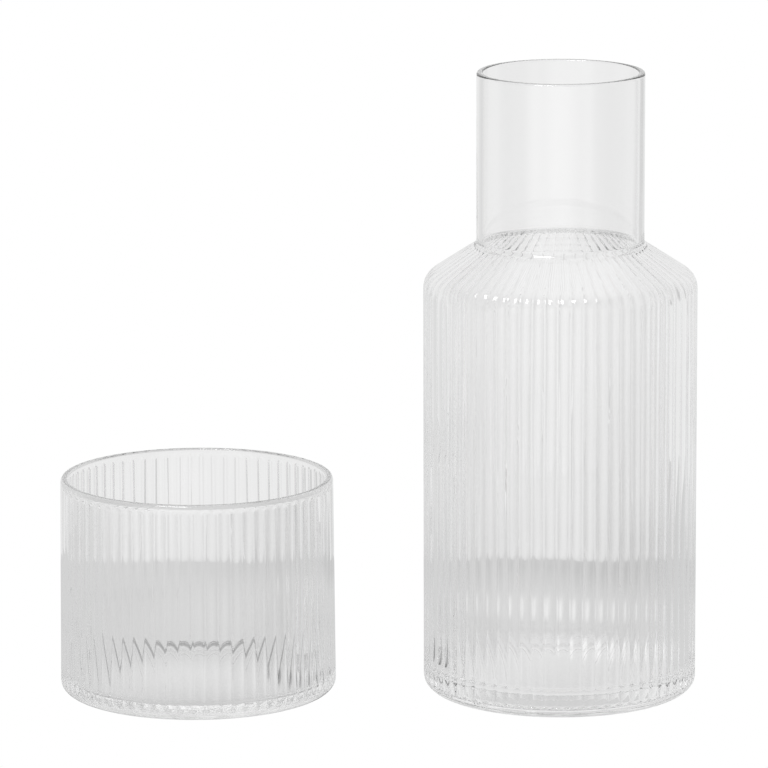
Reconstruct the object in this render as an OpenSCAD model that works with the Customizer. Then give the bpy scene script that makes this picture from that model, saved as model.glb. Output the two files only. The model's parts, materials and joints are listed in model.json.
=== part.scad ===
// Bedside carafe with its tumbler, in ribbed blown glass.
// The two pieces stand side by side, as they do when the tumbler is in use.
// Turned over, the tumbler slips over the neck of the carafe and its rim rests on the shoulder.
// All lengths are in millimetres, with +Z up and the origin on the table between the two pieces.

/* [Carafe] */
// Height of the carafe from its foot to its rim
carafe_h = 200; // [180:1:260]
// Diameter of the body over the crests of its ribs
body_d = 87; // [78:1:100]
// Height of the corner where the lines of the wall and the shoulder would meet
corner_z = 134.4; // [100:0.2:150]
// Rise of the shoulder from that corner to the foot of the neck
shoulder_rise = 11; // [8:0.5:14]
// Radius that rounds the corner between wall and shoulder
corner_r = 6.5; // [4.5:0.5:10]
// Least thickness of the body's wall, in the valleys between the ribs
body_wall = 2.2; // [1.6:0.1:3]
// Thickness of the carafe's floor above the table
carafe_floor = 7; // [3:0.5:9]
// Width of the carafe's rounded heel, measured across
carafe_heel_w = 6.4; // [4:0.2:9]
// Height of the carafe's rounded heel
carafe_heel_h = 5.2; // [4.6:0.1:8]
// Height above the table at which the carafe's ribs end
carafe_rib_foot = 4.4; // [3:0.1:4.5]

/* [Neck] */
// Outer diameter of the plain neck
neck_d = 53.2; // [46:0.2:58]
// Thickness of the neck's wall
neck_wall = 2; // [1.5:0.1:3]
// Radius that eases the inside of the shoulder into the neck
neck_ease_r = 3; // [1.5:0.5:5]

/* [Tumbler] */
// Least thickness of the tumbler's wall, in the valleys between the ribs
tumbler_wall = 1.6; // [1.2:0.1:2.4]
// Thickness of the tumbler's floor above the table
tumbler_floor = 3.4; // [2.5:0.1:6]
// Extra diameter of the tumbler at its foot, against its rim
tumbler_flare = 1.2; // [0:0.1:3]
// Width of the tumbler's rounded heel, measured across
tumbler_heel_w = 5; // [2:0.2:7]
// Height of the tumbler's rounded heel
tumbler_heel_h = 4; // [3.5:0.1:6]
// Height above the table at which the tumbler's ribs end
tumbler_rib_foot = 3; // [2.2:0.1:3.2]
// Height of the smooth band that the flame left under the tumbler's rim
rim_band = 1.6; // [1.2:0.1:4]
// Room between the tumbler's floor and the carafe's rim when it is turned over the neck
lid_room = 1; // [0.3:0.1:3]

/* [Ribs] */
// Number of ribs around each piece
rib_count = 68; // [40:4:80]
// Height of a rib from valley to crest
rib_h = 0.6; // [0.3:0.05:0.9]

/* [Foot] */
// Width of the flat ring that each piece stands on
foot_ring_w = 8; // [5:0.5:12]
// Depth of the hollow under each foot, inside the ring
punt_depth = 1; // [0.4:0.1:1.6]

/* [Standing] */
// Free space between the two pieces
piece_gap = 28.2; // [20:0.2:80]

/* [Hidden] */
$fn = 180;

// Fine sizes of the blown surface
band_proud = 0.05;      // the smooth bands stand this far proud of the crests
band_bevel = 0.9;       // height of the bevel at which a band's edge meets the valleys
skin_lap = 1.2;         // the ribbed skin runs this far under a band
neck_lap = 0.3;         // and it starts to dive under the neck this far outside it
carafe_ease_r = 4.5;    // radius inside, where the carafe's wall meets its floor
tumbler_ease_r = 2;     // radius inside, where the tumbler's wall meets its floor
overrun = 2;            // how far a cut or a joined piece passes what it meets
arc_steps = 6;          // straight steps in a rounded corner
shoulder_steps = 4;     // straight steps of the ribbed skin round the shoulder's corner
rib_steps = 6;          // straight steps across one rib

// Shares of the ribs' height that are left past the shoulder's corner and at the foot of the neck
corner_share = 0.35;
neck_share = 0.15;

// Height that a band's bevel takes in all, on its way down past the valleys and into the wall
bevel_run = band_bevel * (1 + overrun / rib_h);

// Radii of the carafe
body_r = body_d / 2;
neck_r = neck_d / 2;
bore_r = neck_r - neck_wall;
body_shell = rib_h + body_wall;
inside_r = body_r - body_shell;

// The shoulder: its foot of the neck, its slope and the arc that rounds its corner
neck_foot_z = corner_z + shoulder_rise;
slope = atan2(shoulder_rise, body_r - neck_r);
corner_cx = body_r - corner_r;
corner_cz = corner_z - corner_r * tan((90 - slope) / 2);
corner_end_r = corner_cx + corner_r * sin(slope);

// Inside, the shoulder runs parallel to the outside and is eased into the neck
inner_shoulder_z = neck_foot_z + neck_wall * tan(slope) - body_shell / cos(slope);
ease_cz = inner_shoulder_z + neck_ease_r * (1 / cos(slope) - tan(slope));

// The tumbler: as wide as the body at its rim, and as deep as the neck stands above its seat
cup_rim_r = body_r;
cup_foot_r = cup_rim_r + tumbler_flare / 2;
cup_shell = rib_h + tumbler_wall;
seat_r = cup_rim_r - cup_shell / 2;
seat_z = shoulder_z_at(seat_r);
tumbler_h = carafe_h - seat_z + lid_room + tumbler_floor;

// Places of the two axes: the pair's box is centred on the origin
pair_w = 2 * cup_foot_r + piece_gap + 2 * body_r;
carafe_x = pair_w / 2 - body_r;
tumbler_x = cup_foot_r - pair_w / 2;

// Height of the carafe's shoulder, over the crests, at radius r
function shoulder_z_at(r) = r > corner_end_r
    ? corner_cz + sqrt(pow(corner_r, 2) - pow(r - corner_cx, 2))
    : neck_foot_z - (r - neck_r) * tan(slope);

// A stretch of a circle or an ellipse as points [radius from the axis, height]
function arc(cx, cz, rx, rz, from, to, steps = arc_steps) =
    [for (i = [0:steps]) let (a = from + (to - from) * i / steps) [cx + rx * cos(a), cz + rz * sin(a)]];

// Radius of the round back of a rib that is w wide, from its chord and its height
function rib_back_r(w) = (pow(w / 2, 2) + pow(rib_h, 2)) / (2 * rib_h);

// How far the surface lies below the crest, at step i across a rib that is w wide
function rib_drop(i, w) =
    let (off = w * abs(i / rib_steps - round(i / rib_steps)), r = rib_back_r(w))
    r - sqrt(pow(r, 2) - pow(off, 2));

// One ring of the ribbed skin: crest radius, height, direction of the surface and share of relief
function ring_points(ring, w) =
    [for (i = [0:rib_count * rib_steps - 1])
        let (a = 360 * i / (rib_count * rib_steps), drop = ring[3] * rib_drop(i % rib_steps, w))
        [(ring[0] - drop * cos(ring[2])) * cos(a), (ring[0] - drop * cos(ring[2])) * sin(a),
            ring[1] - drop * sin(ring[2])]];

// A solid whose skin is ribbed all round, lofted through rings from the lowest to the highest
module ribbed_solid(rings) {
    n = rib_count * rib_steps;
    w = 2 * PI * body_r / rib_count;
    last = len(rings) - 1;
    points = [for (ring = rings) each ring_points(ring, w)];
    sides = [for (k = [0:last - 1]) for (i = [0:n - 1])
        let (a = k * n + i, b = k * n + (i + 1) % n)
        each [[a, b + n, b], [a, a + n, b + n]]];
    foot = [for (i = [0:n - 1]) i];
    head = [for (i = [n - 1:-1:0]) last * n + i];
    polyhedron(points = points, faces = concat(sides, [foot, head]), convexity = 4);
}

// A round solid turned from an outline
module turned(outline) {
    rotate_extrude() polygon(outline);
}

// Flat foot and rounded heel, up to the bevelled edge where the ribs begin
module heel(r, heel_w, heel_h, rib_foot) {
    edge = -asin(1 - rib_foot / heel_h);
    curve = arc(r + band_proud - heel_w, heel_h, heel_w, heel_h, -90, edge);
    inner = r - rib_h - overrun;
    bevel_top = rib_foot + bevel_run;
    turned(concat([[0, 0]], curve, [[inner, bevel_top], [0, bevel_top]]));
}

// Shallow round hollow under a foot, r wide at the table
module punt(r) {
    ball_r = (pow(r, 2) + pow(punt_depth, 2)) / (2 * punt_depth);
    curve = arc(0, punt_depth - ball_r, ball_r, ball_r, asin(1 - 2 * punt_depth / ball_r), 90);
    turned(concat([[0, -punt_depth]], curve));
}

// Radius of the heel's curve at a height within the heel
function heel_r_at(z, r, heel_w, heel_h) = r - heel_w + heel_w * sqrt(1 - pow(1 - z / heel_h, 2));

// Rings at the foot of the ribs: one under the heel's band, then along the heel's curve
function rib_foot_rings(r, heel_w, heel_h, rib_foot) =
    [[heel_r_at(rib_foot - skin_lap, r, heel_w, heel_h) - skin_lap, rib_foot - skin_lap, 0, 0],
        [heel_r_at(rib_foot, r, heel_w, heel_h), rib_foot, 0, 1], [r, heel_h, 0, 1]];

module carafe_skin() {
    corner = arc(corner_cx, corner_cz, corner_r, corner_r, 0, 90 - slope, shoulder_steps);
    corner_rings = [for (k = [0:shoulder_steps]) let (way = k / shoulder_steps)
        [corner[k][0], corner[k][1], way * (90 - slope), 1 - (1 - corner_share) * way]];
    dive_r = neck_r + neck_lap;
    end_r = neck_r - neck_wall / 2;
    neck_rings = [
        [dive_r, shoulder_z_at(dive_r), 90 - slope, neck_share],
        [end_r, shoulder_z_at(end_r), 90 - slope, 0]
    ];
    foot_rings = rib_foot_rings(body_r, carafe_heel_w, carafe_heel_h, carafe_rib_foot);
    ribbed_solid(concat(foot_rings, corner_rings, neck_rings));
}

// The plain neck, from inside the shoulder up to the outer half of its rounded rim
module neck_blank() {
    lip = neck_wall / 2;
    rim = arc(neck_r - lip, carafe_h - lip, lip, lip, 0, 90);
    foot_z = neck_foot_z - overrun;
    turned(concat([[0, foot_z], [neck_r, foot_z]], rim, [[0, carafe_h]]));
}

// The hollow of the carafe, from its floor to past its rim
module carafe_hollow() {
    lip = neck_wall / 2;
    ease = carafe_ease_r;
    inner_corner_r = corner_r - body_shell;
    floor_curve = arc(inside_r - ease, carafe_floor + ease, ease, ease, -90, 0);
    corner_curve = arc(corner_cx, corner_cz, inner_corner_r, inner_corner_r, 0, 90 - slope);
    ease_curve = arc(bore_r + neck_ease_r, ease_cz, neck_ease_r, neck_ease_r, 270 - slope, 180);
    lip_curve = arc(bore_r + lip, carafe_h - lip, lip, lip, 180, 90);
    turned(concat([[0, carafe_floor]], floor_curve, corner_curve, ease_curve, lip_curve,
        [[bore_r + lip, carafe_h + overrun], [0, carafe_h + overrun]]));
}

// Carafe: ribbed body and shoulder with a plain straight neck, blown in one piece
module carafe() {
    color([0.86, 0.89, 0.89, 0.5])
    translate([carafe_x, 0, 0])
    difference() {
        union() {
            carafe_skin();
            heel(body_r, carafe_heel_w, carafe_heel_h, carafe_rib_foot);
            neck_blank();
        }
        carafe_hollow();
        punt(body_r - carafe_heel_w - foot_ring_w);
    }
}

// Radius of the tumbler over its crests at height z
function cup_r_at(z) = cup_foot_r + (cup_rim_r - cup_foot_r) * z / tumbler_h;

module tumbler_skin() {
    band_z = tumbler_h - rim_band;
    end_z = band_z + skin_lap / 2;
    ribbed_solid(concat(
        rib_foot_rings(cup_foot_r, tumbler_heel_w, tumbler_heel_h, tumbler_rib_foot),
        [[cup_r_at(band_z), band_z, 0, 1], [cup_r_at(end_z) - skin_lap, end_z, 0, 0]]
    ));
}

// The smooth band and the outer half of the tumbler's rounded rim
module tumbler_rim() {
    lip = cup_shell / 2;
    r = cup_rim_r + band_proud;
    band_z = tumbler_h - rim_band;
    bevel_foot = band_z - bevel_run;
    inner = r - rib_h - overrun;
    rim = arc(r - lip, tumbler_h - lip, lip, lip, 0, 90);
    turned(concat([[0, bevel_foot], [inner, bevel_foot], [r, band_z]], rim, [[0, tumbler_h]]));
}

// The hollow of the tumbler, from its floor to past its rim
module tumbler_hollow() {
    lip = cup_shell / 2;
    low_r = cup_r_at(tumbler_floor) - cup_shell;
    rim_r = cup_rim_r - cup_shell;
    ease = tumbler_ease_r;
    floor_curve = arc(low_r - ease, tumbler_floor + ease, ease, ease, -90, 0);
    lip_curve = arc(rim_r + lip, tumbler_h - lip, lip, lip, 180, 90);
    turned(concat([[0, tumbler_floor]], floor_curve, lip_curve,
        [[rim_r + lip, tumbler_h + overrun], [0, tumbler_h + overrun]]));
}

// Tumbler: a low ribbed cup that also serves as the carafe's lid
module tumbler() {
    color([0.84, 0.87, 0.87, 0.5])
    translate([tumbler_x, 0, 0])
    difference() {
        union() {
            tumbler_skin();
            heel(cup_foot_r, tumbler_heel_w, tumbler_heel_h, tumbler_rib_foot);
            tumbler_rim();
        }
        tumbler_hollow();
        punt(cup_foot_r - tumbler_heel_w - foot_ring_w);
    }
}

carafe();
tumbler();
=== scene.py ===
"""Bedside carafe with its tumbler, in clear ribbed glass, on a plain pale table.

Each glass is one closed wall: an outline of the outside and the inside is spun round the axis, and
then the ribs are drawn into the outside of the wall, as the ribbed mould leaves them.
"""
import json
import math

import bmesh
import bpy
from mathutils import Matrix, Vector


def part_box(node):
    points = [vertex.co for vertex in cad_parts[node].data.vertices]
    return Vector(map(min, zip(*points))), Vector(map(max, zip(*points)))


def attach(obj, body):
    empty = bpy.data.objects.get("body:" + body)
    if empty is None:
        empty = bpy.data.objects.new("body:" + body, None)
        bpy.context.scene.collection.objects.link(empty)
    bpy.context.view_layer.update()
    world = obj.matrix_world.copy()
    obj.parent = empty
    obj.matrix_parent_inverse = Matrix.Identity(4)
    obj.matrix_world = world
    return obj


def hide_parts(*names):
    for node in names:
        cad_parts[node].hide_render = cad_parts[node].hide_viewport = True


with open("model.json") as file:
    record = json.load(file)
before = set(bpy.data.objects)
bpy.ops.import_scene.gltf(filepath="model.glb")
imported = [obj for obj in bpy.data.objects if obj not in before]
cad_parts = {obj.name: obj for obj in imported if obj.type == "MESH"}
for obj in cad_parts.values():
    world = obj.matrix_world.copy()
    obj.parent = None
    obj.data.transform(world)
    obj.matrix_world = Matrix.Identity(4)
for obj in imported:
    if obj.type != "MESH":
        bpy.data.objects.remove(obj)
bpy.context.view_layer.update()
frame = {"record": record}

MM = 0.001

# Sizes of the glass are in millimetres. The outer radii, the heights and the neck's bore come from the frame

# Ribs: how many go round a glass, and how high they are
RIB_COUNT = 68
RIB_HEIGHT = 0.8

# How far each glass's ribs are turned on, in ribs
CARAFE_RIB_PHASE = 0.0
CUP_RIB_PHASE = 0.4

# How the ribs stray sideways, in waves: reach in ribs, waves round the glass, and radians a millimetre up
RIB_STRAY = ((0.05, 7, 0.02), (0.03, 19, 0.11))

# Heights between which the ribs rise out of the heels
CARAFE_RIB_FOOT = (3.8, 4.6)
CUP_RIB_FOOT = (2.7, 4.1)

# Under the tumbler's rim: the plain band, and how far down the ribs take to reach their height
RIM_BAND = 1.6
RIM_FADE = 1.6

# Share of the ribs' height that is left on the flat of the shoulder, and how far off the neck they sink away
SHOULDER_RELIEF = 0.22
RIB_END = (0.6, 1.8)

# Thickness of the walls in the valleys between the ribs, and of the plain neck
BODY_WALL = 2.0
CUP_WALL = 1.4
NECK_WALL = 2.0

# Thickness of the floors, and the radius that rounds the corner above them
CARAFE_FLOOR = 7.0
CARAFE_EASE = 4.5
CUP_FLOOR = 5.0
CUP_EASE = 2.0

# Shoulder: the height where its line meets the wall's, and how far it climbs to the neck
CORNER_Z = 134.4
SHOULDER_RISE = 11.0

# How far the soft turns reach from the shoulder's corner and from the neck's root, outside and inside
CORNER_REACH = 4.6
INNER_CORNER_REACH = 4.2
ROOT_REACH = 1.6
INNER_ROOT_REACH = 1.6

# Width and height of the round heels
CARAFE_HEEL = (6.4, 5.2)
CUP_HEEL = (5.0, 4.0)

# Lips: width and height of their outer and inner edges, and the steps that round them
NECK_LIP_OUTSIDE = (0.6, 0.9, 7)
NECK_LIP_INSIDE = (0.4, 0.5, 5)
CUP_LIP_OUTSIDE = (0.9, 1.8, 10)
CUP_LIP_INSIDE = (0.4, 0.5, 6)

# How much smaller the tumbler's radius is at its rim than at its foot
CUP_FLARE = 0.6

# Foot: width of the ring that stands, depth of the hollow within it, and width of the soft step between
FOOT_RING = 8.0
PUNT_DEPTH = 0.4
STEP_REACH = 1.0

# Unevenness of the blown insides, in waves: reach, waves round the glass, radians a millimetre up, and start
CARAFE_WAVES = ((0.05, 3, 0.05, 0.0), (0.035, 5, -0.083, 1.3))
CUP_WAVES = ((0.04, 2, 0.06, 0.0), (0.028, 5, -0.09, 0.6))

# How far from the rim and from the floor the waves start, and how far off they have their full reach
CARAFE_RIM_CALM = (1, 12)
CUP_RIM_CALM = (2, 10)
FLOOR_CALM = (1, 8)

# How finely a wall is drawn round its axis: steps to a rib, and equal sectors, of which one is spun
STEPS_PER_RIB = 10
SECTORS = 17

# Widest gap between rows: on the walls outside and inside, the neck, the shoulder and the band under the rim
OUTSIDE_STEP = 15.0
INSIDE_STEP = 6.0
NECK_STEP = 30.0
SHOULDER_STEP = 3.0
BAND_STEP = 0.2

# Rows round the shoulder's corner, the neck's root and the floor's corner, and on the foot's soft step
CORNER_STEPS = 12
ROOT_STEPS = 8
EASE_STEPS = 8
STEP_ROWS = 4

# Rows round the heels, as stretches from one angle to another in so many steps: finest where the ribs start
CARAFE_HEEL_STRETCHES = ((-90, -20, 8), (-20, 0, 10))
CUP_HEEL_STRETCHES = ((-90, -50, 4), (-50, 0, 12))

# How far a holding row lies from the end of a straight run, and of a run in a bent line, and what share of the
# run that may be
END_HOLD = 0.3
BEND_HOLD = 0.6
HOLD_SHARE = 0.25

# Points nearer to each other than this are one point, and a point nearer to the axis than this lies on it
SAME_POINT = 1e-4
ON_AXIS = 1e-3

# The three sides of a glass wall
UNDER, OUTSIDE, INSIDE = range(3)

# The faint ripple of fire-polished glass: how wide and how deep it is, and how strongly it shows
RIPPLE_WIDTH = 11.11
RIPPLE_DEPTH = 0.2
RIPPLE_SHARE = 0.12

# How often light may pass or mirror at the glass before it is lost, and the most that a bent ray brings
GLASS_BOUNCES = 40
BENT_LIGHT_LIMIT = 1.2

# The camera of the photograph: frame and focal length in pixels, sensor, place and farthest sight in
# millimetres, tilt down in degrees, and roll in radians
FRAME_PX = 768
FOCAL_PX = 6544
SENSOR = 36.0
CAMERA_X = 2.2
CAMERA_BACK = 2037.8
CAMERA_HEIGHT = 521.7
CAMERA_SIGHT = 30000.0
CAMERA_PITCH = 11.70
CAMERA_ROLL = 0.003

# The key lamp: degrees to the camera's right and up, distance, width and height, and the height that it aims
# at in millimetres, and power in watts
KEY_AZIMUTH = -27
KEY_ELEVATION = 50
KEY_DISTANCE = 1400
KEY_SIZE = (560, 620)
KEY_AIM = 90
KEY_POWER = 8.5

# The stage, in millimetres: low and high X and low and high Y of the white floor and of the table top, which
# lie just under the feet. Only light that passes through or off the glass meets the table and the room
FLOOR = (-6000, 6000, -6000, 6000)
FLOOR_Z = -0.4
TABLE = (-400, 400, -400, 180)
TABLE_Z = -0.2

# Linear brightness of the table top, and patches of painted shadow and painted light on it. They stand for the
# shade, the dark rings at the feet and the bright streaks that the glasses throw, and for a window's light:
# centre, half width, half depth, how much of the way in they fade, and how much lighter or darker they are
TABLE_TONE = 0.65
TABLE_PAINTED_LIGHT_AND_SHADE = (
    ("under the carafe", 58.2, 0, 58, 58, 0.45, 0.15),
    ("under the tumbler", -57.6, 0, 38, 38, 0.8, 0.15),
    ("behind the tumbler's foot", -57.6, 5, 46, 46, 0.06, -0.36),
    ("within its foot", -57.6, 1, 42, 42, 0.06, 0.34),
    ("right of the tumbler", -19, -3, 7, 20, 0.8, -0.6),
    ("before the carafe", 65, -78, 85, 42, 0.8, -0.5),
    ("before the tumbler", -65, -75, 70, 40, 0.8, -0.45),
    ("right, before", 155, -90, 90, 60, 0.8, -0.35),
    ("streak behind the carafe", 89, 104, 18, 24, 0.6, 0.3),
    ("streak at the carafe's foot", 84, 28, 14, 20, 0.6, 0.25),
    ("behind the carafe", 60, 165, 80, 50, 1, -0.1),
    ("left, near", -300, -300, 200, 200, 1, 1.2),
    ("right, near", 320, -180, 220, 260, 1, -0.8),
    ("near", 0, -200, 140, 100, 1, 0.6),
)

# Linear brightness of the room, and cards in it, in degrees: azimuth from behind to the right, elevation and
# reach, and how much lighter or darker they are
ROOM_TONE = 0.85
ROOM_CARDS = (
    ("behind, high", 5, 28, 24, -0.4),
    ("behind, right, low", 26, -10, 12, -0.25),
    ("behind, left, low", -35, -10, 20, -0.14),
    ("over the camera", 180, 60, 60, -0.6),
    ("overhead", 0, 90, 40, 0.8),
    ("right, back", 75, 18, 30, -0.35),
    ("right, low", 105, -12, 38, -0.4),
    ("front", 195, 0, 45, 0.8),
    ("left", 262, 20, 35, -0.6),
    ("front, low", 180, -25, 40, -0.3),
)


def srgb(code):
    """A hex colour as a linear RGBA value."""
    parts = [int(code[i:i + 2], 16) / 255 for i in (1, 3, 5)]
    linear = [c / 12.92 if c <= 0.04045 else ((c + 0.055) / 1.055) ** 2.4 for c in parts]
    return (*linear, 1.0)


def add(tree, kind, *ordered, settings=None, **named):
    """A node of that kind, with its settings, and values or other nodes' outputs on its inputs."""
    node = tree.nodes.new(kind)
    for name, value in (settings or {}).items():
        setattr(node, name, value)
    inputs = [(node.inputs[i], value) for i, value in enumerate(ordered)]
    inputs += [(node.inputs[name.replace("_", " ")], value) for name, value in named.items()]
    for socket, value in inputs:
        if isinstance(value, bpy.types.NodeSocket):
            tree.links.new(value, socket)
        else:
            socket.default_value = value
    return node


def placed(name, bm):
    """The finished mesh as an object at the origin, with its place in its mesh."""
    mesh = bpy.data.meshes.new(name)
    bm.to_mesh(mesh)
    bm.free()
    obj = bpy.data.objects.new(name, mesh)
    bpy.context.scene.collection.objects.link(obj)
    return obj


def ease(value, low, high):
    """0 below low, 1 above high and a smooth rise between."""
    t = min(1.0, max(0.0, (value - low) / (high - low)))
    return t * t * (3 - 2 * t)


def joined(*runs):
    """Runs of points as one outline, without points that lie on each other."""
    out = []
    for run in runs:
        for p in run:
            if not out or math.dist(out[-1], p) > SAME_POINT:
                out.append(p)
    return out


def arc(cx, cz, rx, rz, start, end, steps):
    """Points (radius, height) on a stretch of a circle or an ellipse, with angles in degrees."""
    points = []
    for i in range(steps + 1):
        a = math.radians(start + (end - start) * i / steps)
        points.append((cx + rx * math.cos(a), cz + rz * math.sin(a)))
    return points


def straight(start, end, gap, hold=END_HOLD):
    """A straight run of points: holding rows near both ends, and between them rows within the gap."""
    length = math.dist(start, end)
    edge = min(hold / length, HOLD_SHARE)
    count = max(1, math.ceil(length * (1 - 2 * edge) / gap))
    shares = [0.0] + [edge + (1 - 2 * edge) * i / count for i in range(count + 1)] + [1.0]
    return [(start[0] + (end[0] - start[0]) * t, start[1] + (end[1] - start[1]) * t) for t in shares]


def soft_turn(corner, start, end, reach, steps):
    """Round a corner, reach away on both sides. The way turns from start to end degrees, fastest midway."""
    ways = [math.radians(start + (end - start) * ease((i + 0.5) / steps, 0, 1)) for i in range(steps)]
    span = math.hypot(sum(math.cos(way) for way in ways), sum(math.sin(way) for way in ways))
    step = 2 * reach * math.cos(math.radians(end - start) / 2) / span
    way_in = math.radians(start)
    points = [(corner[0] - reach * math.cos(way_in), corner[1] - reach * math.sin(way_in))]
    for way in ways:
        points.append((points[-1][0] + step * math.cos(way), points[-1][1] + step * math.sin(way)))
    return points


def bent(points, turns, gaps):
    """A bent line, with a soft turn of (reach, steps) at each inner point, and rows within the gaps."""
    runs, start = [], points[0]
    for before, corner, after, (reach, steps), gap in zip(points, points[1:], points[2:], turns, gaps):
        way_in = math.degrees(math.atan2(corner[1] - before[1], corner[0] - before[0]))
        way_out = math.degrees(math.atan2(after[1] - corner[1], after[0] - corner[0]))
        turn = soft_turn(corner, way_in, way_out, reach, steps)
        runs += [straight(start, turn[0], gap, BEND_HOLD), turn]
        start = turn[-1]
    runs.append(straight(start, points[-1], gaps[-1], BEND_HOLD))
    return joined(*runs)


def heel_run(radius, heel, stretches):
    """Round a heel, from the ring that stands up to the wall at that radius."""
    wide, high = heel
    return joined(*[arc(radius - wide, high, wide, high, *stretch) for stretch in stretches])


def outer_lip(radius, height, lip):
    """Over the outer edge of a lip, from the wall at that radius to the lip's flat top."""
    wide, high, steps = lip
    return arc(radius - wide, height - high, wide, high, 0, 90, steps)


def inner_lip(radius, height, lip):
    """Over the inner edge of a lip, from its flat top down to the inside at that radius."""
    wide, high, steps = lip
    return arc(radius + wide, height - high, wide, high, 90, 180, steps)


def floor_run(radius, floor, corner):
    """Round the corner at the foot of the inside, and across the floor to the axis."""
    return joined(arc(radius - corner, floor + corner, corner, corner, 0, -90, EASE_STEPS),
                  straight((radius - corner, floor), (0.0, floor), radius))


def foot_run(radius):
    """Under a foot: the hollow's level ceiling, the soft step down from it, and the ring that stands."""
    hollow = radius - FOOT_RING
    step = [(hollow - STEP_REACH * (1 - i / STEP_ROWS), PUNT_DEPTH * (1 - ease(i, 0, STEP_ROWS)))
            for i in range(STEP_ROWS + 1)]
    ceiling = straight((0.0, PUNT_DEPTH), step[0], hollow)
    return joined(ceiling, step, straight(step[-1], (radius, 0.0), FOOT_RING)[:-1])


def rib_stray(angle, z):
    """How far the ribs stray sideways at a place, in ribs."""
    return sum(reach * math.sin(waves * angle + climb * z) for reach, waves, climb in RIB_STRAY)


def rib_dip(angle, pitch, width):
    """How far the wall lies below the rib's crest at this angle, for a round back and a narrow valley."""
    back = ((width / 2) ** 2 + RIB_HEIGHT ** 2) / (2 * RIB_HEIGHT)
    off = abs((angle / pitch + 0.5) % 1.0 - 0.5) * width
    return back - math.sqrt(back ** 2 - off ** 2)


def slow_waves(shape, angle, z):
    """How far slow waves move a blown wall inwards at a place, in millimetres."""
    return sum(reach * math.sin(waves * angle + climb * z + start) for reach, waves, climb, start in shape)


def spun_wall(under, outside, inside):
    """A closed wall round the Z axis: its outline is spun through one sector, which is copied round."""
    bm = bmesh.new()
    side = bm.verts.layers.int.new("side")
    chain = []
    for kind, run in ((UNDER, under), (OUTSIDE, outside), (INSIDE, inside)):
        for r, z in run:
            chain.append(bm.verts.new((r, 0, z)))
            chain[-1][side] = kind
    for a, b in zip(chain, chain[1:]):
        bm.edges.new((a, b))
    bmesh.ops.spin(bm, geom=bm.verts[:] + bm.edges[:], axis=(0, 0, 1), cent=(0, 0, 0), dvec=(0, 0, 0),
                   angle=2 * math.pi / SECTORS, steps=RIB_COUNT * STEPS_PER_RIB // SECTORS,
                   use_merge=False, use_duplicate=False)
    sector = bm.verts[:] + bm.edges[:] + bm.faces[:]
    for i in range(1, SECTORS):
        copy = bmesh.ops.duplicate(bm, geom=sector)["geom"]
        bmesh.ops.rotate(bm, cent=(0, 0, 0), matrix=Matrix.Rotation(2 * math.pi * i / SECTORS, 3, "Z"),
                         verts=[v for v in copy if isinstance(v, bmesh.types.BMVert)])
    bmesh.ops.remove_doubles(bm, verts=bm.verts[:], dist=SAME_POINT)
    return bm


def draw_ribs(bm, radius, phase, relief, wander):
    """Draw ribs into the outside of a wall, turned on by phase ribs, and let its inside wander.

    relief gives the share of the ribs' height at a radius and height, and which way the wall faces there.
    wander gives how far the inside lies inwards at an angle and height. radius is the widest over the ribs.
    """
    side = bm.verts.layers.int["side"]
    pitch = 2 * math.pi / RIB_COUNT
    for v in bm.verts:
        r, z = math.hypot(v.co.x, v.co.y), v.co.z
        if r < ON_AXIS:
            continue
        angle = math.atan2(v.co.y, v.co.x)
        drop, slant = 0.0, 0.0
        if v[side] == INSIDE:
            drop = wander(angle, z)
        elif v[side] == OUTSIDE:
            share, slant = relief(r, z)
            turn = angle + pitch * (rib_stray(angle, z) - phase)
            drop = share * rib_dip(turn, pitch, pitch * radius)
        new_r = r - drop * math.cos(slant)
        v.co.x *= new_r / r
        v.co.y *= new_r / r
        v.co.z -= drop * math.sin(slant)


def blown_glass(name, axis_x, under, outside, inside, phase, relief, wander):
    """One glass, standing with its axis at axis_x: a closed ribbed wall, in metres."""
    bm = spun_wall(under, outside, inside)
    draw_ribs(bm, max(r for r, z in outside), phase, relief, wander)
    bmesh.ops.recalc_face_normals(bm, faces=bm.faces[:])
    bmesh.ops.scale(bm, vec=(MM, MM, MM), verts=bm.verts[:])
    bmesh.ops.translate(bm, vec=(axis_x, 0, 0), verts=bm.verts[:])
    for f in bm.faces:
        f.smooth = True
    return placed(name, bm)


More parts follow.
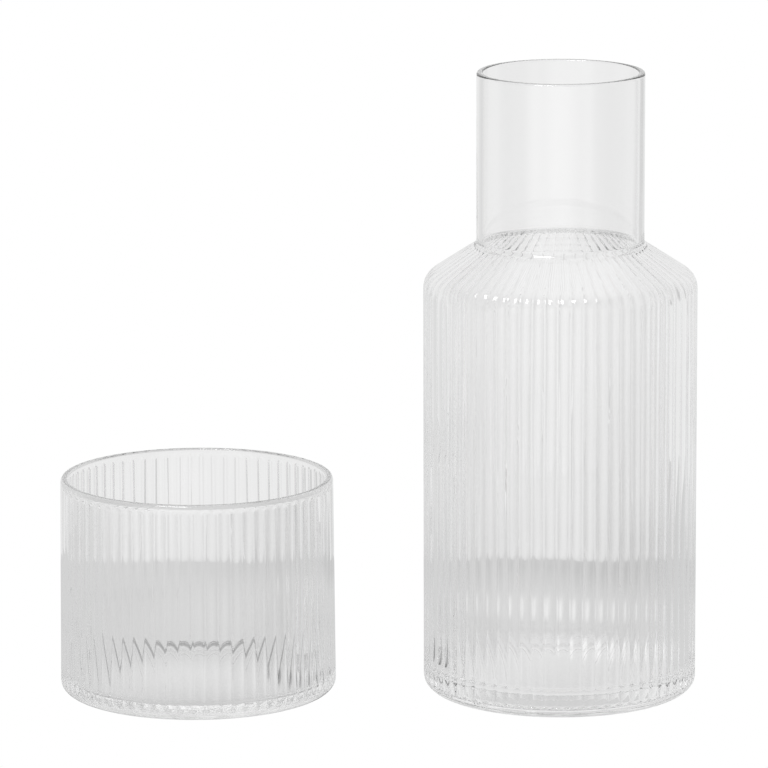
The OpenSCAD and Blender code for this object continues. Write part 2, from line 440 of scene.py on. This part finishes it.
def carafe_piece():
    """The carafe: a straight ribbed body, a low ribbed shoulder and a plain straight neck."""
    low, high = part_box("carafe")
    body_r = (high.x - low.x) / 2 / MM
    height = high.z / MM
    bore_r = frame["record"]["mounts"][0]["dims"]["r_mm"]
    neck_r = bore_r + NECK_WALL
    shell = RIB_HEIGHT + BODY_WALL
    inner_r = body_r - shell
    slope = math.atan2(SHOULDER_RISE, body_r - neck_r)
    wall_top = CORNER_Z - CORNER_REACH

    def shoulder_z(r, depth):
        """Height of the flat of the shoulder at a radius, that far under its outside."""
        return CORNER_Z + (body_r - r) * math.tan(slope) - depth / math.cos(slope)

    def relief(r, z):
        """Share of the ribs' height at a point of the outside, and which way the wall faces there."""
        if z <= wall_top:
            return ease(z, *CARAFE_RIB_FOOT), 0.0
        face = (math.pi / 2 - slope) * ease(z, wall_top, shoulder_z(body_r - CORNER_REACH, 0))
        sunk = ease(z, wall_top, shoulder_z((body_r + neck_r) / 2, 0))
        return (1 - (1 - SHOULDER_RELIEF) * sunk) * ease(r - neck_r, *RIB_END), face

    def wander(angle, z):
        """Unevenness of the inside, which is still at the rim and at the floor."""
        free = ease(height - z, *CARAFE_RIM_CALM) * ease(z - CARAFE_FLOOR, *FLOOR_CALM)
        return free * slow_waves(CARAFE_WAVES, angle, z)

    heel = heel_run(body_r, CARAFE_HEEL, CARAFE_HEEL_STRETCHES)
    lip = outer_lip(neck_r, height, NECK_LIP_OUTSIDE)
    outside = joined(
        heel,
        bent([heel[-1], (body_r, CORNER_Z), (neck_r, shoulder_z(neck_r, 0)), lip[0]],
             ((CORNER_REACH, CORNER_STEPS), (ROOT_REACH, ROOT_STEPS)),
             (OUTSIDE_STEP, SHOULDER_STEP, NECK_STEP)),
        lip,
    )
    mouth = inner_lip(bore_r, height, NECK_LIP_INSIDE)
    floor = floor_run(inner_r, CARAFE_FLOOR, CARAFE_EASE)
    inside = joined(
        mouth,
        bent([mouth[-1], (bore_r, shoulder_z(bore_r, NECK_WALL)), (inner_r, shoulder_z(inner_r, shell)),
              floor[0]],
             ((INNER_ROOT_REACH, ROOT_STEPS), (INNER_CORNER_REACH, CORNER_STEPS)),
             (NECK_STEP, SHOULDER_STEP, INSIDE_STEP)),
        floor,
    )
    return blown_glass("carafe_glass", (low.x + high.x) / 2, foot_run(heel[0][0]), outside, inside,
                       CARAFE_RIB_PHASE, relief, wander)


def tumbler_piece():
    """The tumbler: a low ribbed cup with a plain band under its rim."""
    low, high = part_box("tumbler")
    foot_r = (high.x - low.x) / 2 / MM
    height = high.z / MM
    shell = RIB_HEIGHT + CUP_WALL

    def wall_at(z):
        """Point on the wall over the crests: the cup is a little wider at its foot."""
        return foot_r - CUP_FLARE * z / height, z

    def relief(r, z):
        """Share of the ribs' height at a point of the outside, and which way the wall faces there."""
        return ease(z, *CUP_RIB_FOOT) * ease(height - z, RIM_BAND, RIM_BAND + RIM_FADE), 0.0

    def wander(angle, z):
        """Unevenness of the inside, which is still at the rim and at the floor."""
        free = ease(height - z, *CUP_RIM_CALM) * ease(z - CUP_FLOOR, *FLOOR_CALM)
        return free * slow_waves(CUP_WAVES, angle, z)

    rim_r = wall_at(height)[0]
    band_foot = wall_at(height - RIM_BAND - RIM_FADE)
    heel = heel_run(wall_at(CUP_HEEL[1])[0], CUP_HEEL, CUP_HEEL_STRETCHES)
    lip = outer_lip(rim_r, height, CUP_LIP_OUTSIDE)
    outside = joined(heel, straight(heel[-1], band_foot, OUTSIDE_STEP),
                     straight(band_foot, lip[0], BAND_STEP), lip)
    mouth = inner_lip(rim_r - shell, height, CUP_LIP_INSIDE)
    floor = floor_run(wall_at(CUP_FLOOR)[0] - shell, CUP_FLOOR, CUP_EASE)
    inside = joined(mouth, straight(mouth[-1], floor[0], INSIDE_STEP), floor)
    return blown_glass("tumbler_glass", (low.x + high.x) / 2, foot_run(heel[0][0]), outside, inside,
                       CUP_RIB_PHASE, relief, wander)


def blown_soda_lime(name):
    """Clear soda-lime glass, blown in a ribbed mould and fire-polished: glossy, and colourless to the eye.

    A faint ripple bends a little what is seen through it.
    """
    mat = bpy.data.materials.new(name)
    mat.use_nodes = True
    tree = mat.node_tree
    tree.nodes.clear()
    place = add(tree, "ShaderNodeTexCoord")
    ripple = add(tree, "ShaderNodeTexNoise", Vector=place.outputs["Object"], Scale=1 / (RIPPLE_WIDTH * MM),
                 Detail=1.0)
    bump = add(tree, "ShaderNodeBump", Strength=RIPPLE_SHARE, Distance=RIPPLE_DEPTH * MM,
               Height=ripple.outputs["Fac"])
    shader = add(tree, "ShaderNodeBsdfPrincipled", Base_Color=srgb("#FFFFFF"), Roughness=0.0, IOR=1.52,
                 Transmission_Weight=1.0, Normal=bump.outputs["Normal"])
    add(tree, "ShaderNodeOutputMaterial", Surface=shader.outputs["BSDF"])
    return mat


def stage_glow(name, tone=None):
    """A stage surface that shows its own tone, whatever the light: white, or a pattern that tone makes."""
    mat = bpy.data.materials.new(name)
    mat.use_nodes = True
    tree = mat.node_tree
    tree.nodes.clear()
    glow = add(tree, "ShaderNodeEmission", Color=srgb("#FFFFFF"), Strength=tone(tree) if tone else 1.0)
    add(tree, "ShaderNodeOutputMaterial", Surface=glow.outputs["Emission"])
    return mat


def stage_plane(name, sides, z, material, camera, rest):
    """A level stage piece without a shadow: the camera's own rays meet it, or bent and mirrored ones do."""
    x0, x1, y0, y1 = sides
    bm = bmesh.new()
    bmesh.ops.create_grid(bm, x_segments=1, y_segments=1, size=0.5)
    bmesh.ops.scale(bm, vec=((x1 - x0) * MM, (y1 - y0) * MM, 1), verts=bm.verts[:])
    bmesh.ops.translate(bm, vec=((x0 + x1) / 2 * MM, (y0 + y1) / 2 * MM, z * MM), verts=bm.verts[:])
    obj = placed(name, bm)
    obj.data.materials.append(material)
    obj.visible_camera = camera
    obj.visible_diffuse = rest
    obj.visible_glossy = rest
    obj.visible_transmission = rest
    obj.visible_shadow = False


def patched(tree, tone, patches):
    """An even tone with patches: each one's amount fades in as its closeness rises to soft. Never below 0."""
    for closeness, soft, amount in patches:
        share = add(tree, "ShaderNodeMapRange", settings={"interpolation_type": "SMOOTHSTEP"},
                    Value=closeness, From_Max=soft, To_Max=amount)
        total = add(tree, "ShaderNodeMath", share.outputs["Result"], tone, settings={"operation": "ADD"})
        tone = total.outputs["Value"]
    return add(tree, "ShaderNodeMath", tone, 0.0, settings={"operation": "MAXIMUM"}).outputs["Value"]


def table_tone(tree):
    """The pale grey table top, with the light and shade that two glasses and a window throw on it."""
    place = add(tree, "ShaderNodeTexCoord")
    patches = []
    for name, x, y, wide, deep, soft, amount in TABLE_PAINTED_LIGHT_AND_SHADE:
        spot = add(tree, "ShaderNodeMapping", settings={"vector_type": "TEXTURE", "label": name},
                   Vector=place.outputs["Object"], Location=(x * MM, y * MM, 0),
                   Scale=(wide * MM, deep * MM, 1))
        far = add(tree, "ShaderNodeVectorMath", spot.outputs["Vector"], settings={"operation": "LENGTH"})
        near = add(tree, "ShaderNodeMath", 1.0, far.outputs["Value"], settings={"operation": "SUBTRACT"})
        patches.append((near.outputs["Value"], soft, amount))
    return patched(tree, TABLE_TONE, patches)


def room_tone(tree):
    """The light grey room, with softly edged lighter and darker cards round the glasses."""
    way = add(tree, "ShaderNodeTexCoord").outputs["Generated"]
    patches = []
    for name, azimuth, elevation, reach, amount in ROOM_CARDS:
        a, e = math.radians(azimuth), math.radians(elevation)
        middle = (math.sin(a) * math.cos(e), math.cos(a) * math.cos(e), math.sin(e))
        facing = add(tree, "ShaderNodeVectorMath", way, middle,
                     settings={"operation": "DOT_PRODUCT", "label": name})
        edge = math.cos(math.radians(reach))
        near = add(tree, "ShaderNodeMath", facing.outputs["Value"], 1 / (1 - edge), -edge / (1 - edge),
                   settings={"operation": "MULTIPLY_ADD"})
        patches.append((near.outputs["Value"], 1.0, amount))
    return patched(tree, ROOM_TONE, patches)


def stage_floor():
    """A plain white floor to the eye. Through the glass shows the pale grey table top, with its back edge."""
    stage_plane("floor", FLOOR, FLOOR_Z, stage_glow("white_floor"), camera=True, rest=False)
    stage_plane("table", TABLE, TABLE_Z, stage_glow("grey_table", table_tone), camera=False, rest=True)


def studio_world():
    """White round the picture; to the glass a light grey room."""
    world = bpy.data.worlds.new("studio")
    bpy.context.scene.world = world
    world.use_nodes = True
    tree = world.node_tree
    tree.nodes.clear()
    room = add(tree, "ShaderNodeBackground", Color=srgb("#FFFFFF"), Strength=room_tone(tree))
    white = add(tree, "ShaderNodeBackground", Color=srgb("#FFFFFF"), Strength=1.0)
    path = add(tree, "ShaderNodeLightPath")
    pick = add(tree, "ShaderNodeMixShader", path.outputs["Is Camera Ray"], room.outputs["Background"],
               white.outputs["Background"])
    add(tree, "ShaderNodeOutputWorld", Surface=pick.outputs["Shader"])


def key_lamp():
    """A soft, nearly square lamp, high on the viewer's left, which faces the glasses."""
    a, e = math.radians(KEY_AZIMUTH), math.radians(KEY_ELEVATION)
    way = Vector((math.sin(a) * math.cos(e), -math.cos(a) * math.cos(e), math.sin(e)))
    light = bpy.data.lights.new("key", "AREA")
    light.shape = "RECTANGLE"
    light.size, light.size_y = KEY_SIZE[0] * MM, KEY_SIZE[1] * MM
    light.energy = KEY_POWER
    lamp = bpy.data.objects.new("key", light)
    lamp.location = Vector((0, 0, KEY_AIM * MM)) + way * KEY_DISTANCE * MM
    lamp.rotation_euler = (-way).to_track_quat("-Z", "Y").to_euler()
    lamp.visible_camera = False
    bpy.context.scene.collection.objects.link(lamp)


def photo_camera():
    """The photograph's long lens, a little above the glasses and tilted down."""
    data = bpy.data.cameras.new("camera")
    data.sensor_width = SENSOR
    data.lens = FOCAL_PX * SENSOR / FRAME_PX
    data.clip_end = CAMERA_SIGHT * MM
    camera = bpy.data.objects.new("camera", data)
    place = Matrix.Translation((CAMERA_X * MM, -CAMERA_BACK * MM, CAMERA_HEIGHT * MM))
    tilt = Matrix.Rotation(math.radians(90 - CAMERA_PITCH), 4, "X")
    camera.matrix_world = place @ tilt @ Matrix.Rotation(-CAMERA_ROLL, 4, "Z")
    bpy.context.scene.collection.objects.link(camera)
    bpy.context.scene.camera = camera


bpy.context.scene.view_settings.view_transform = "Standard"
for limit in ("max_bounces", "transmission_bounces", "glossy_bounces"):
    setattr(bpy.context.scene.cycles, limit, GLASS_BOUNCES)
bpy.context.scene.cycles.sample_clamp_indirect = BENT_LIGHT_LIMIT
for build, body, slot in ((carafe_piece, "carafe", "carafe_glass"),
                          (tumbler_piece, "tumbler", "tumbler_glass")):
    piece = build()
    piece.data.materials.append(blown_soda_lime("blown_" + slot))
    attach(piece, body)
    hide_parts(body)

stage_floor()
studio_world()
key_lamp()
photo_camera()
